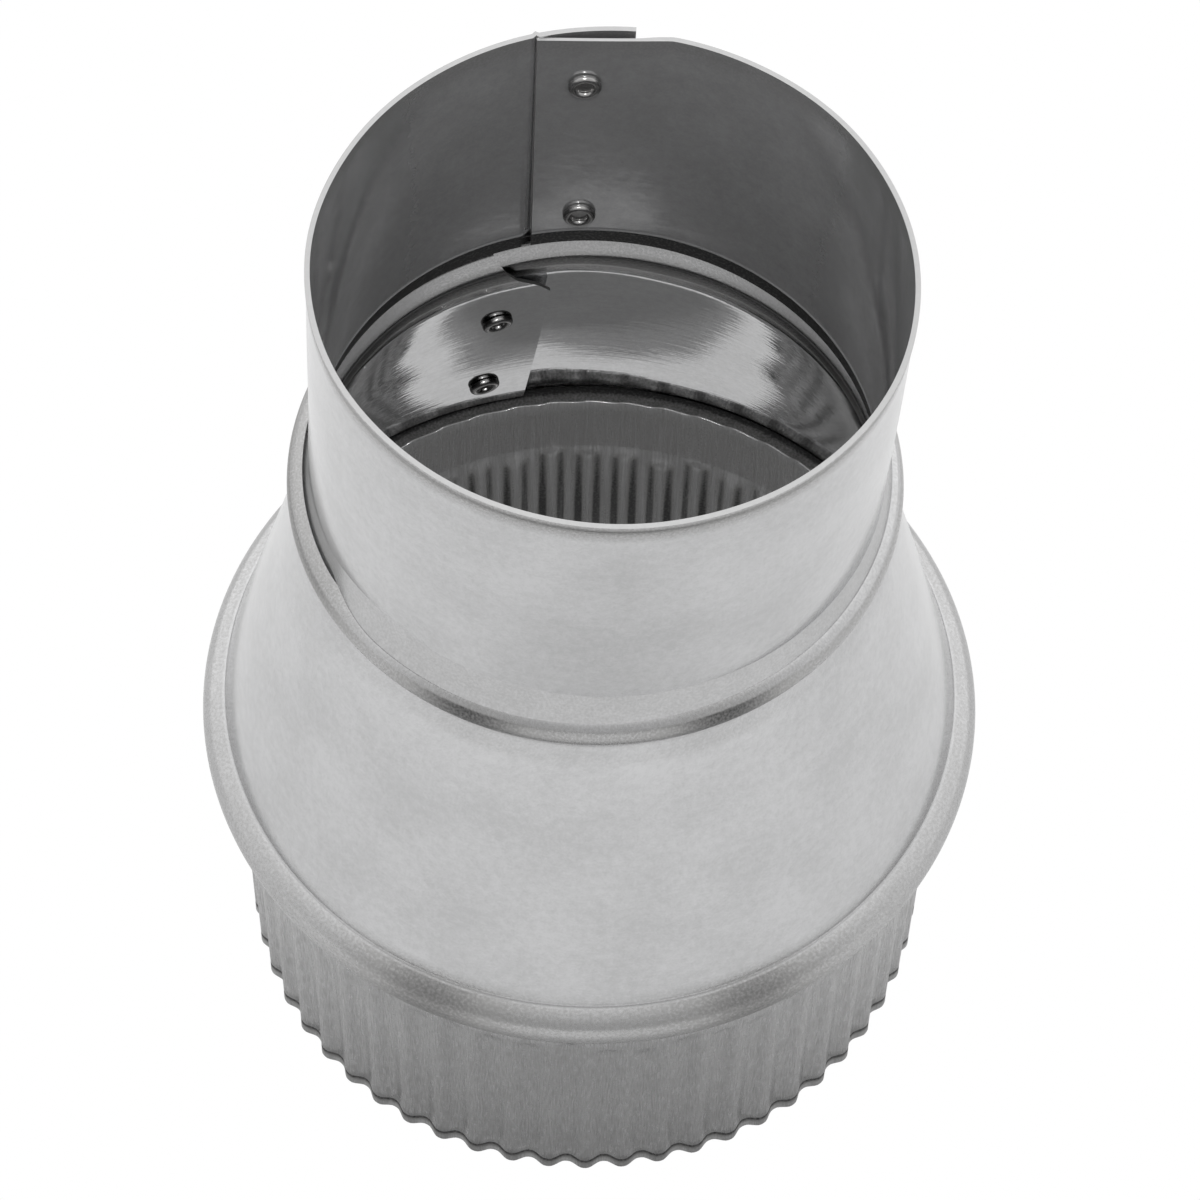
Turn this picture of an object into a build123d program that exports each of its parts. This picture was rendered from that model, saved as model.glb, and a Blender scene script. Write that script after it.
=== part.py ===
from build123d import *
from math import atan2, cos, degrees, hypot, radians, sin, sqrt, tan
import os

# A duct reducer of galvanised sheet: a plain small collar, a tapered body and a crimped collar, top to foot.
# Each of the three is one rolled sheet whose ends lap and are riveted, and rolled beads lock them together.
# Millimetres and degrees. The Z axis runs up the duct, from the centre of the crimped rim's plane.
# Azimuths turn anticlockwise from +X, seen from above.

# Sheet, laps and fits
sheet = 0.5
lap_gap = 0.15
slit = 0.25
bead_clearance = 0.3

# Small collar: a plain tube that leans a little to +X in its bead
collar_bore_radius = 38.1
collar_rim_height = 155.4
collar_lean = 1.6
collar_seam = 104.7
collar_lap_end = 85.2
collar_lap_start = 156.0
collar_lap_spring = 1.2
collar_joggle_angle = 2.0
flat_end = 77.0
collar_ring_height = 3.6

# Bead that holds the collar's foot, at the top of the tapered body
top_bead_height = 108.1
top_bead_stand = 3.4
top_bead_section = 3.0
top_lip_angle = 71.0
flank_angle = 45.0
throat_stand = 0.6

# Tapered body's lap
taper_seam = 101.0
taper_lap_angle = 18.0
taper_joggle_angle = 1.5
taper_lap_inset = 2.0
notch_width = 7.6
notch_height = 9.0

# Bead that holds the crimped collar's head, at the foot of the tapered body
lower_bead_height = 50.6
lower_bead_stand = 4.4
lower_bead_section = 3.7
lower_lip_angle = 95.0

# Crimped collar
crimped_plain_radius = 51.0
crimped_neck_height = 4.6
crimped_curl_angle = 90.0
crimped_band_height = 5.5
crimp_fade_height = 5.5
crimp_crest_inset = 0.5
crimp_depth = 1.1
crimp_count = 57
crimp_crest_share = 0.36
crimp_valley_share = 0.30
crimped_seam = 150.2
crimped_lap_count = 2

# Rivets: a domed head outside and a rolled tail inside
rivet_shank_radius = 1.2
rivet_hole_clearance = 0.1
rivet_seat_gap = 0.2
rivet_head_radius = 2.3
rivet_head_height = 0.9
rivet_tail_radius = 2.1
rivet_tail_height = 0.8
rivet_dimple_radius = 1.1
rivet_dimple_depth = 0.45
collar_rivet_foot_inset = 8.4
collar_rivet_rim_inset = 10.7
taper_rivet_foot_inset = 12.0
taper_rivet_top_inset = 21.3

os.makedirs("parts", exist_ok=True)


def around(radius, azimuth):
    """Point of the plan at a radius and an azimuth."""
    return (radius * cos(radians(azimuth)), radius * sin(radians(azimuth)))


def radial_plane(azimuth):
    """Upright plane through the axis: its x runs outwards and its y runs up."""
    x, y = around(1, azimuth)
    return Plane(origin=(0, 0, 0), x_dir=(x, y, 0), z_dir=(y, -x, 0))


# Each bead stands out from the collar that it holds.
# Each rivet keeps its distance from a bead or the rim.
top_bead_radius = collar_bore_radius + top_bead_stand
throat_radius = collar_bore_radius + throat_stand
lower_bead_radius = crimped_plain_radius + lower_bead_stand
crimped_band_top = lower_bead_height - crimped_neck_height
crimp_fade_top = crimped_band_top - crimped_band_height
crimp_crest_radius = crimped_plain_radius - crimp_crest_inset
collar_rivet_heights = (
    top_bead_height + collar_rivet_foot_inset,
    collar_rim_height - collar_rivet_rim_inset,
)
taper_rivet_heights = (
    lower_bead_height + taper_rivet_foot_inset,
    top_bead_height - taper_rivet_top_inset,
)

# Places that follow from the sizes above
lap_step = sheet + lap_gap
lean_direction = (sin(radians(collar_lean)), 0, cos(radians(collar_lean)))
lean_across = (cos(radians(collar_lean)), 0, -sin(radians(collar_lean)))
collar_seat = Plane(origin=(0, 0, top_bead_height), x_dir=lean_across, z_dir=lean_direction)
collar_length = collar_rim_height - top_bead_height
collar_axis = Axis(collar_seat.origin, collar_seat.z_dir)

# The foot's flange fills the bead as far as its lean lets it
top_bead_centre = top_bead_radius - top_bead_section
top_groove = top_bead_section - sheet
foot_swing = top_bead_radius * sin(radians(collar_lean))
foot_rise = sheet / 2 + foot_swing + bead_clearance
foot_tip_radius = top_bead_centre + sqrt(top_groove ** 2 - foot_rise ** 2)
foot_flare = foot_tip_radius - collar_bore_radius

lower_bead_centre = lower_bead_radius - lower_bead_section
lower_groove = lower_bead_section - sheet
curl_radius = lower_groove - bead_clearance


# Small collar
def sprung_radius(face, azimuth):
    """Radius of the sprung outer lap's face, on an arc that leaves the round at the lap's start."""
    free_edge = face + collar_lap_spring
    whole_turn = radians(collar_lap_start - collar_lap_end)
    shift = (free_edge ** 2 - face ** 2) / (2 * (face - free_edge * cos(whole_turn)))
    turn = radians(collar_lap_start - azimuth)
    return sqrt((face + shift) ** 2 - (shift * sin(turn)) ** 2) - shift * cos(turn)


joggle_end = collar_seam + degrees(slit / collar_bore_radius)
joggle_start = joggle_end + collar_joggle_angle
collar_faces = (collar_bore_radius, collar_bore_radius + sheet)


def collar_section(at_rim):
    """Outline of the rolled sheet. At the rim the inner lap is flat and the outer lap springs off it."""
    edges = []
    round_part = collar_lap_start - 360 - flat_end
    for face in collar_faces:
        edges.append(CenterArc((0, 0), face, flat_end, round_part, mode=Mode.PRIVATE))
        if at_rim:
            edges.append(Line(around(face, collar_seam), around(face, flat_end), mode=Mode.PRIVATE))
            turns = (collar_lap_start, joggle_start, joggle_end, collar_lap_end)
            for start, end in zip(turns, turns[1:]):
                stops = (start, (start + end) / 2, end)
                on_lap = [around(sprung_radius(face, turn), turn) for turn in stops]
                edges.append(ThreePointArc(*on_lap, mode=Mode.PRIVATE))
        else:
            lap = face + lap_step
            before_joggle = collar_lap_start - joggle_start
            outer_lap = joggle_end - collar_lap_end
            edges.append(CenterArc((0, 0), face, flat_end, collar_seam - flat_end, mode=Mode.PRIVATE))
            edges.append(CenterArc((0, 0), face, joggle_start, before_joggle, mode=Mode.PRIVATE))
            edges.append(Line(around(face, joggle_start), around(lap, joggle_end), mode=Mode.PRIVATE))
            edges.append(CenterArc((0, 0), lap, collar_lap_end, outer_lap, mode=Mode.PRIVATE))
    lap_ends = [face + lap_step for face in collar_faces]
    if at_rim:
        lap_ends = [sprung_radius(face, collar_lap_end) for face in collar_faces]
    edges.append(Line(*[around(face, collar_seam) for face in collar_faces], mode=Mode.PRIVATE))
    edges.append(Line(*[around(lap, collar_lap_end) for lap in lap_ends], mode=Mode.PRIVATE))
    return make_face(edges, mode=Mode.PRIVATE)


collar_rivet_azimuth = (collar_seam + collar_lap_end) / 2
flat_normal = (collar_seam + flat_end) / 2
flat_half_angle = (collar_seam - flat_end) / 2
rivet_facing = (flat_normal + collar_rivet_azimuth) / 2
flat_radius = collar_bore_radius * cos(radians(flat_half_angle)) / cos(
    radians(collar_rivet_azimuth - flat_normal)
)
ring_lap_radius = collar_bore_radius + sheet + lap_step
rim_lap_radius = sprung_radius(collar_bore_radius + sheet, collar_rivet_azimuth)


def collar_rivet_seat(height):
    """Bore-side seat of a collar rivet, its plane facing outwards, and the grip through both laps."""
    along = height - top_bead_height
    share = (along - collar_ring_height) / (collar_length - collar_ring_height)
    bore_face = collar_bore_radius + share * (flat_radius - collar_bore_radius)
    lap_face = ring_lap_radius + share * (rim_lap_radius - ring_lap_radius)
    x, y = around(bore_face, collar_rivet_azimuth)
    out_x, out_y = around(1, rivet_facing)
    origin = collar_seat.from_local_coords(Vector(x, y, along))
    tip = collar_seat.from_local_coords(Vector(x + out_x, y + out_y, along))
    grip = (lap_face - bore_face) / cos(radians(collar_rivet_azimuth - rivet_facing))
    return Plane(origin=origin, z_dir=tip - origin), grip


collar_rivet_seats = [collar_rivet_seat(height) for height in collar_rivet_heights]
hole_radius = rivet_shank_radius + rivet_hole_clearance
hole_reach = rivet_tail_radius + collar_lap_spring

foot_plane = Plane(origin=collar_seat.origin, x_dir=lean_across, z_dir=(0, -1, 0))
# The wall joins its two outlines edge by edge.
# They are made outside a sketch, which would merge the round one's arcs.
collar_outlines = [
    collar_seat.offset(collar_ring_height) * collar_section(at_rim=False),
    collar_seat.offset(collar_length) * collar_section(at_rim=True),
]

with BuildPart() as small_collar:
    loft(collar_outlines, ruled=True)
    with BuildSketch(foot_plane):
        with BuildLine():
            foot_low = -sheet / 2
            bend_top = (collar_bore_radius, foot_low + foot_flare)
            bore_line = Line((collar_bore_radius, collar_ring_height), bend_top)
            TangentArc(bend_top, (foot_tip_radius, foot_low), tangent=bore_line % 1)
            offset(amount=sheet, side=Side.LEFT)
        make_face()
    revolve(axis=collar_axis)
    for seat, grip in collar_rivet_seats:
        with BuildSketch(seat.offset(-hole_reach)):
            Circle(hole_radius)
        extrude(amount=grip + 2 * hole_reach, mode=Mode.SUBTRACT)


# Tapered body: one profile from the lip over the foot to the lip under the crimped collar's head
def on_arc(centre, radius, angle):
    """Point of an upright section at an angle from the outward direction."""
    return (centre[0] + radius * cos(radians(angle)), centre[1] + radius * sin(radians(angle)))


top_centre = (top_bead_centre, top_bead_height)
lower_centre = (lower_bead_centre, lower_bead_height)
flank_start = on_arc(top_centre, top_groove, -flank_angle)
throat_height = flank_start[1] - (flank_start[0] - throat_radius) / tan(radians(flank_angle))
taper_top = (throat_radius, throat_height)
taper_foot = on_arc(lower_centre, lower_groove, 90)
taper_run = taper_foot[0] - taper_top[0]
taper_drop = taper_top[1] - taper_foot[1]
taper_slant = hypot(taper_run, taper_drop)
taper_out = (taper_drop / taper_slant, taper_run / taper_slant)


def on_taper(height, outwards):
    """Point of the taper's section at a height of its bore face, moved outwards square to the wall."""
    share = (taper_top[1] - height) / taper_drop
    return (
        taper_top[0] + share * taper_run + outwards * taper_out[0],
        height + outwards * taper_out[1],
    )


def taper_band(low, high, inner, outer):
    """Outline of a strip that lies along the taper, between two distances from its bore face."""
    Polyline(
        on_taper(low, inner),
        on_taper(low, outer),
        on_taper(high, outer),
        on_taper(high, inner),
        close=True,
    )


lap_low = taper_foot[1] + taper_lap_inset
lap_high = taper_top[1] - taper_lap_inset
slit_angle = degrees(slit / taper_top[0])
taper_rivet_azimuth = taper_seam + taper_lap_angle / 2
taper_grip = sheet + lap_step


def taper_rivet_seat(height):
    """Bore-side seat of a rivet in the taper's lap, its plane facing outwards."""
    radius, rise = on_taper(height, 0)
    x, y = around(1, taper_rivet_azimuth)
    outwards = (x * taper_out[0], y * taper_out[0], taper_out[1])
    return Plane(origin=(radius * x, radius * y, rise), z_dir=outwards)


taper_rivet_seats = [(taper_rivet_seat(height), taper_grip) for height in taper_rivet_heights]
notch_corner = (*around(throat_radius, taper_seam), lap_high)
seam_out = around(1, taper_seam)
notch_plane = Plane(origin=notch_corner, x_dir=(-seam_out[1], seam_out[0], 0), z_dir=(*seam_out, 0))

with BuildPart() as tapered_body:
    with BuildSketch(Plane.XZ):
        with BuildLine():
            top_sweep = -top_lip_angle - flank_angle
            lower_sweep = -90 - lower_lip_angle
            CenterArc(top_centre, top_groove, top_lip_angle, top_sweep)
            Line(flank_start, taper_top)
            Line(taper_top, taper_foot)
            CenterArc(lower_centre, lower_groove, 90, lower_sweep)
            offset(amount=sheet, side=Side.LEFT, kind=Kind.INTERSECTION)
        make_face()
    revolve(axis=Axis.Z)
    # Slit beside the inner lap's edge, from bead to bead
    with BuildSketch(radial_plane(taper_seam - slit_angle)):
        with BuildLine():
            taper_band(lap_low - sheet, lap_high + sheet, -sheet, 2 * sheet)
        make_face()
    revolve(axis=Axis.Z, revolution_arc=slit_angle, mode=Mode.SUBTRACT)
    # Notch: the inner lap's upper corner is snipped off
    with BuildSketch(notch_plane):
        with BuildLine():
            Polyline((0, 0), (notch_width, 0), (0, -notch_height), close=True)
        make_face()
    extrude(amount=notch_width, both=True, mode=Mode.SUBTRACT)
    # Joggle and outer lap, which close the slit and the notch from outside
    with BuildSketch(radial_plane(taper_seam - taper_joggle_angle)):
        with BuildLine():
            taper_band(lap_low, lap_high, sheet / 2, sheet + lap_step)
        make_face()
    revolve(axis=Axis.Z, revolution_arc=taper_joggle_angle - slit_angle)
    with BuildSketch(radial_plane(taper_seam - slit_angle)):
        with BuildLine():
            taper_band(lap_low, lap_high, lap_step, sheet + lap_step)
        make_face()
    revolve(axis=Axis.Z, revolution_arc=taper_lap_angle + slit_angle)
    for seat, grip in taper_rivet_seats:
        with BuildSketch(seat.offset(-hole_reach)):
            Circle(hole_radius)
        extrude(amount=grip + 2 * hole_reach, mode=Mode.SUBTRACT)


# Crimped collar: flutes that fade into a plain band, with a head that curls outwards inside the bead
crimp_pitch = 360 / crimp_count
crimp_slope_share = (1 - crimp_crest_share - crimp_valley_share) / 2
crimped_lap_crests = crimp_count + crimped_lap_count


def crimp_face(crest_radius, depth, inset):
    """Edges of one face of the fluted sheet, from its seam to its outer lap's end, and its two ends."""
    slope_width = radians(crimp_slope_share * crimp_pitch) * crest_radius
    corner_turn = degrees(tan(atan2(depth, slope_width) / 2) / crest_radius)
    corners = []
    for crimp in range(crimped_lap_crests):
        below_crest = inset - lap_step if crimp >= crimp_count else inset
        shift = below_crest * corner_turn
        crest_start = crimped_seam + crimp * crimp_pitch
        crest_end = crest_start + crimp_crest_share * crimp_pitch
        valley_start = crest_end + crimp_slope_share * crimp_pitch
        valley_end = valley_start + crimp_valley_share * crimp_pitch
        crest = crest_radius - below_crest
        valley = crest - depth
        first_shift = slit_turn if crimp == 0 else shift
        corners += [(crest_start + first_shift, crest), (crest_end - shift, crest)]
        corners += [(valley_start - shift, valley), (valley_end + shift, valley)]
    edges = []
    for (start, here), (end, there) in zip(corners, corners[1:]):
        if here == there:
            edges.append(CenterArc((0, 0), here, start, end - start, mode=Mode.PRIVATE))
        else:
            edges.append(Line(around(here, start), around(there, end), mode=Mode.PRIVATE))
    return edges, (corners[0], corners[-1])


def crimp_section(crest_radius, depth):
    """Outline of the fluted sheet, open at the seam where its ends lap."""
    outer_edges, outer_ends = crimp_face(crest_radius, depth, 0)
    inner_edges, inner_ends = crimp_face(crest_radius, depth, sheet)
    caps = []
    for (outer_azimuth, outer_radius), (inner_azimuth, inner_radius) in zip(outer_ends, inner_ends):
        outer_end = around(outer_radius, outer_azimuth)
        inner_end = around(inner_radius, inner_azimuth)
        caps.append(Line(outer_end, inner_end, mode=Mode.PRIVATE))
    return outer_edges + inner_edges + caps


slit_turn = degrees(slit / crimped_plain_radius)
crimp_straight = crimp_fade_top - crimp_fade_height
crimped_bore_radius = crimped_plain_radius - sheet
crimped_grip = sheet + lap_step
crimped_rivet_height = (crimp_fade_top + crimped_band_top) / 2
crimped_rivet_azimuth = crimped_seam + crimped_lap_count * crimp_pitch / 2
crimped_rivet_facing = around(1, crimped_rivet_azimuth)
crimped_rivet_point = (*around(crimped_bore_radius, crimped_rivet_azimuth), crimped_rivet_height)
crimped_rivet_seat = Plane(origin=crimped_rivet_point, z_dir=(*crimped_rivet_facing, 0))
crimped_rivet_seats = [(crimped_rivet_seat, crimped_grip)]

# The fade joins its two outlines edge by edge.
# They are made outside a sketch, which would merge the plain one's arcs.
fluted_outline = make_face(crimp_section(crimp_crest_radius, crimp_depth), mode=Mode.PRIVATE)
plain_outline = make_face(crimp_section(crimped_plain_radius, 0), mode=Mode.PRIVATE)
fade_outlines = [
    Plane.XY.offset(crimp_straight) * fluted_outline,
    Plane.XY.offset(crimp_fade_top) * plain_outline,
]

with BuildPart() as crimped_collar:
    extrude(fluted_outline, amount=crimp_straight)
    loft(fade_outlines, ruled=True)
    extrude(fade_outlines[1], amount=crimped_band_top - crimp_fade_top)
    with BuildSketch(Plane.XZ):
        with BuildLine():
            head_bend = lower_bead_centre - crimped_bore_radius
            head_top = on_arc(lower_centre, curl_radius, 90)
            bend_start = (crimped_bore_radius, head_top[1] - head_bend)
            wall_line = Line((crimped_bore_radius, crimped_band_top), bend_start)
            TangentArc(bend_start, head_top, tangent=wall_line % 1)
            CenterArc(lower_centre, curl_radius, 90, -90 - crimped_curl_angle)
            offset(amount=sheet, side=Side.LEFT)
        make_face()
    revolve(axis=Axis.Z)
    for seat, grip in crimped_rivet_seats:
        with BuildSketch(seat.offset(-hole_reach)):
            Circle(hole_radius)
        extrude(amount=grip + 2 * hole_reach, mode=Mode.SUBTRACT)


# Rivets
def rivet_outline(grip):
    """Half section of a rivet along its axis: rolled tail with a dimple, shank, and domed head."""
    tail_face = -rivet_seat_gap
    tail_end = tail_face - rivet_tail_height
    head_face = grip + rivet_seat_gap
    tail_shoulder = tail_face - rivet_tail_height / 2
    tail_crown = (rivet_dimple_radius + rivet_tail_radius) / 2
    dimple_end = tail_end + rivet_dimple_depth
    Line((0, dimple_end), (rivet_dimple_radius / 2, dimple_end))
    Line((rivet_dimple_radius / 2, dimple_end), (rivet_dimple_radius, tail_end))
    Line((rivet_dimple_radius, tail_end), (tail_crown, tail_end))
    Line((tail_crown, tail_end), (rivet_tail_radius, tail_shoulder))
    Line((rivet_tail_radius, tail_shoulder), (rivet_tail_radius, tail_face))
    Line((rivet_tail_radius, tail_face), (rivet_shank_radius, tail_face))
    Line((rivet_shank_radius, tail_face), (rivet_shank_radius, head_face))
    Line((rivet_shank_radius, head_face), (rivet_head_radius, head_face))
    head_top = (0, head_face + rivet_head_height)
    TangentArc(head_top, (rivet_head_radius, head_face), tangent=(1, 0))
    Line(head_top, (0, dimple_end))


def rivet_plane(seat):
    """Plane of a rivet's half section: its x runs across the rivet and its y runs out of the duct."""
    return Plane(origin=seat.origin, x_dir=seat.x_dir, z_dir=seat.x_dir.cross(seat.z_dir))


with BuildPart() as small_collar_rivets:
    for seat, grip in collar_rivet_seats:
        with BuildSketch(rivet_plane(seat)):
            with BuildLine():
                rivet_outline(grip)
            make_face()
        revolve(axis=Axis(seat.origin, seat.z_dir))

with BuildPart() as tapered_body_rivets:
    for seat, grip in taper_rivet_seats:
        with BuildSketch(rivet_plane(seat)):
            with BuildLine():
                rivet_outline(grip)
            make_face()
        revolve(axis=Axis(seat.origin, seat.z_dir))

with BuildPart() as crimped_collar_rivet:
    for seat, grip in crimped_rivet_seats:
        with BuildSketch(rivet_plane(seat)):
            with BuildLine():
                rivet_outline(grip)
            make_face()
        revolve(axis=Axis(seat.origin, seat.z_dir))

small_collar.part.label = "small_collar"
export_step(small_collar.part, "parts/small_collar.step")
tapered_body.part.label = "tapered_body"
export_step(tapered_body.part, "parts/tapered_body.step")
crimped_collar.part.label = "crimped_collar"
export_step(crimped_collar.part, "parts/crimped_collar.step")
small_collar_rivets.part.label = "small_collar_rivets"
export_step(small_collar_rivets.part, "parts/small_collar_rivets.step")
tapered_body_rivets.part.label = "tapered_body_rivets"
export_step(tapered_body_rivets.part, "parts/tapered_body_rivets.step")
crimped_collar_rivet.part.label = "crimped_collar_rivet"
export_step(crimped_collar_rivet.part, "parts/crimped_collar_rivet.step")
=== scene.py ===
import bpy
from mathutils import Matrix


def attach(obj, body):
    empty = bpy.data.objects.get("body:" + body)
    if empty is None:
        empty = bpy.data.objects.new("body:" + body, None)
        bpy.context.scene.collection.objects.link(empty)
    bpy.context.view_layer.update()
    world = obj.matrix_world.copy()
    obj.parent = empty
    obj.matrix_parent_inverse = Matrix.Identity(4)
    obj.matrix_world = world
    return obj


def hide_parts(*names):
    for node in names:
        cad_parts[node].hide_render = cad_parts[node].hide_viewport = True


bl_info = {
    "name": "Duct reducer",
    "version": (1, 0, 0),
    "blender": (4, 5, 0),
    "location": "View3D > Sidebar > Reducer",
    "description": "Riveted duct reducer: lapped sheets, rolled beads, crimps, rivets and a zinc finish",
    "category": "Object",
}

from math import acos, cos, degrees, hypot, radians, sin, tan

import bmesh
import bpy
import numpy as np
from bpy.props import FloatProperty, FloatVectorProperty, IntProperty, PointerProperty
from mathutils import Matrix, Vector

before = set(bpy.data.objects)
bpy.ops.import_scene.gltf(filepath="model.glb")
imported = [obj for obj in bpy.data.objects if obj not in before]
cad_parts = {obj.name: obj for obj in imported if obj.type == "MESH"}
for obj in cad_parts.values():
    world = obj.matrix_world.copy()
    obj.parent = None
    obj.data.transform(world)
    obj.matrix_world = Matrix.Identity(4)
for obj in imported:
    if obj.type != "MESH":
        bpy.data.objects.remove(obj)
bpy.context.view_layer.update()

# Sizes are in millimetres and angles in degrees. Azimuths turn anticlockwise from +X, seen from above.
MM = 0.001
FULL_TURN = 360.0
lap_gap = 0.15
sharp_angle = 50.0

# How worked the zinc is: 0 is bare and 1 is all worked by rollers. From 1 to 2 it is painted shade, which
# darkens the zinc towards black in grooves, recesses and crimp flanks
PAINTED_SHADE = 2.0

# Small collar, in its own frame, which leans to +X about the centre of the top bead
collar_bore = 38.1
collar_lean = 1.6
collar_length = 47.3
collar_seam = 105.9
seam_twist = -1.1
collar_lap_end = 86.4
collar_lap_start = 156.0
collar_joggle = 2.0
flat_end = 79.0
flat_corner = 0.05
flat_reach = 40.0
joggle_lead = 0.25
foot_tip = 40.33
foot_height = 0.95
foot_edge = 4.1
foot_edge_bend = 0.6
foot_edge_step = 0.05
foot_edge_curl = 0.12
foot_recess = 0.35
foot_top_rise = 0.3
foot_shoulder_rise = 0.2
foot_skin = (0.84, 0.98)
foot_worked = 0.3
swell_height = 6.0
skirt_height = 6.8
skirt_foot = (40.35, 2.0)
skirt_ends = (380.0, 425.0)
skirt_share = 0.6
collar_oval = 0.45
collar_drift = 0.3
rim_roll = 1.4
rim_fine_rows = 2.0
rim_worked = 0.5
# Painted shade: darkens the outer face just under the rim into a dark line
rim_line_shade = 1.4
rim_bulge = 0.2
rim_bulge_height = 0.7
rim_bulge_run = 5.0
lap_rise = 0.4
seam_groove = 0.35
seam_groove_width = 0.8

# Tapered body
top_bead_height = 108.1
top_bead_centre = 38.5
top_bead_bore = 2.5
top_bead_split = 30.0
top_lip_angle = 74.0
flank_angle = 45.0
closed_lip_angle = 88.5
lip_opens = (130.0, 150.0)
lip_closes = (206.0, 226.0)
# Painted dark reflections on the beads' outer faces at front-left and front-right, on top of roller wear all
# round
dark_reflection_marks = (247.0, 296.0)
dark_reflection_width = 11.0
worked_and_reflection = (0.5, 0.85)
open_lip_worked = 0.6
lip_feather = 0.85
lip_feather_rows = 6
throat = (38.7, 104.76)
neck_radius = 38.6
neck_foot = 102.6
neck_flare = 22.0
flank_bend = 0.5
neck_bend = 0.4
flare_bend = 1.0
lower_bead_height = 50.6
lower_bead_centre = 51.7
lower_bead_bore = 3.2
lower_lip_angle = 95.0
crease_bend = 0.8
wall_foot = 55.0
wall_height = 44.0
seam_high = (100.0, 95.5)
seam_low = (102.3, 57.4)
snip_top = (111.9, 106.0)
taper_lap = 18.0
taper_lap_run = 26.0
lap_lean_in = 0.8
lap_lean_run = 38.0

# Crimped collar
crimped_plain = 51.0
crimped_crest = 50.5
crimp_fade_top = 40.5
crimp_full_height = 32.0
crimp_steps = 14
crimp_seed = 7
# Chance in the crimps' starts: their tops, how long they take to begin, and their sideways hooks
crimp_top_range = (-2.0, 0.8)
crimp_start_run = (1.3, 3.5)
crimp_hook = 0.12
crimp_crest_share = 0.36
crimp_slope_share = 0.42
crimp_start_share = 0.5
crimped_rim_crest = 50.05
crest_radius = 49.8
crest_height = 52.6
crest_bend = 0.3
crest_wave = 0.3
crest_wave_climb = 0.7
crest_wave_foot = 46.0
crest_wave_run = 5.0
# Painted shade on the steep flanks of the crimps' bore face
flank_shade = 1.7
rim_groove = 0.4
rim_groove_half = 0.3
rim_groove_height = 2.2
crimped_seam = 150.2
crimped_lap_count = 2
crimped_lap_run = 0.5
curl_radius = 2.0
curl_end = -90.0

# Rivets
rivet_shank = 1.2
rivet_seat = 0.2
rivet_head_radius = 2.3
rivet_head_height = 0.9
rivet_tail_radius = 2.25
rivet_tail_height = 0.8
rivet_dimple_radius = 1.1
rivet_dimple_depth = 0.65
rivet_dimple_flat = 0.55
rivet_turns = 48
collar_rivet_azimuth = (collar_seam + collar_lap_end) / 2
collar_rivet_heights = (8.2, 37.8)
taper_rivet_azimuth = 110.0
taper_rivet_heights = (62.6, 86.8)
crimped_rivet_height = 43.25

# The photograph's camera, from a fit to its rims and beads
camera_place = (0.0, -400.34, 714.69)
camera_pitch = 57.883
camera_roll = 1.535
camera_lens = 162.0
camera_sensor = 36.0
camera_shift = 0.00657

# Floor: where light through the rim falls on it, the soft shade in front of the reducer, and the run
# inside the reducer over which the fill grows towards the front
floor_half = 4000.0
light_patch = (4.0, 79.6)
light_patch_edge = 0.3
front_shade = (0.0, -60.0)
front_shade_reach = (20.0, 75.0)
inner_edge = 0.6
inner_front = (-20.0, 25.0)

# Narrow light that shines into the small collar
key_distance = 1200.0
key_climb = 62.2
key_cone = 3.65
key_blend = 0.06
key_source = 3.0

# Zinc and steel: grains to the metre
spangle_grains = 800
cloud_grains = 90
speckle_grains = 2600
scratch_grains = 1400


class ReducerSizes(bpy.types.PropertyGroup):
    """Sizes of the sheets that a maker would change."""

    sheet: FloatProperty(
        name="Sheet", description="Thickness of the sheet", default=0.5 * MM, unit="LENGTH", precision=5
    )
    spring: FloatProperty(
        name="Lap spring", description="How far the small collar's outer lap springs open at the rim",
        default=0.5 * MM, unit="LENGTH", precision=5,
    )
    crimp_count: IntProperty(name="Crimps", description="Crimps around the large collar", default=57, min=12)
    crimp_depth: FloatProperty(
        name="Crimp depth", description="Depth of the crimps", default=1.1 * MM, unit="LENGTH", precision=5
    )
    unevenness: FloatProperty(
        name="Unevenness", description="How far the rolled walls wander from round",
        default=0.05 * MM, unit="LENGTH", precision=6,
    )


class ReducerFinish(bpy.types.PropertyGroup):
    """Colours and gloss of the metal."""

    zinc: FloatVectorProperty(
        name="Zinc", description="Colour of the galvanised face", subtype="COLOR", size=3,
        default=(0.615, 0.616, 0.622), min=0, max=1,
    )
    zinc_dark: FloatVectorProperty(
        name="Dull zinc", description="Colour of the duller grains", subtype="COLOR", size=3,
        default=(0.52, 0.521, 0.525), min=0, max=1,
    )
    worked: FloatVectorProperty(
        name="Worked zinc", description="Colour where rollers have worked the zinc", subtype="COLOR", size=3,
        default=(0.36, 0.357, 0.354), min=0, max=1,
    )
    # Colour of the painted shade in grooves, recesses and crimp flanks
    groove_shade: FloatVectorProperty(
        name="Grime", description="Colour of the dirt in the grooves", subtype="COLOR", size=3,
        default=(0.05, 0.05, 0.05), min=0, max=1,
    )
    cut: FloatVectorProperty(
        name="Cut edge", description="Colour of the bare cut edges", subtype="COLOR", size=3,
        default=(0.55, 0.55, 0.55), min=0, max=1,
    )
    rivet: FloatVectorProperty(
        name="Rivet", description="Colour of the rivets", subtype="COLOR", size=3,
        default=(0.46, 0.455, 0.45), min=0, max=1,
    )
    roughness: FloatProperty(
        name="Roughness", description="Roughness of the outer faces", subtype="FACTOR",
        default=0.18, min=0, max=1,
    )
    inner_roughness: FloatProperty(
        name="Inner roughness", description="Roughness of the bore faces", subtype="FACTOR",
        default=0.06, min=0, max=1,
    )


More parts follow.
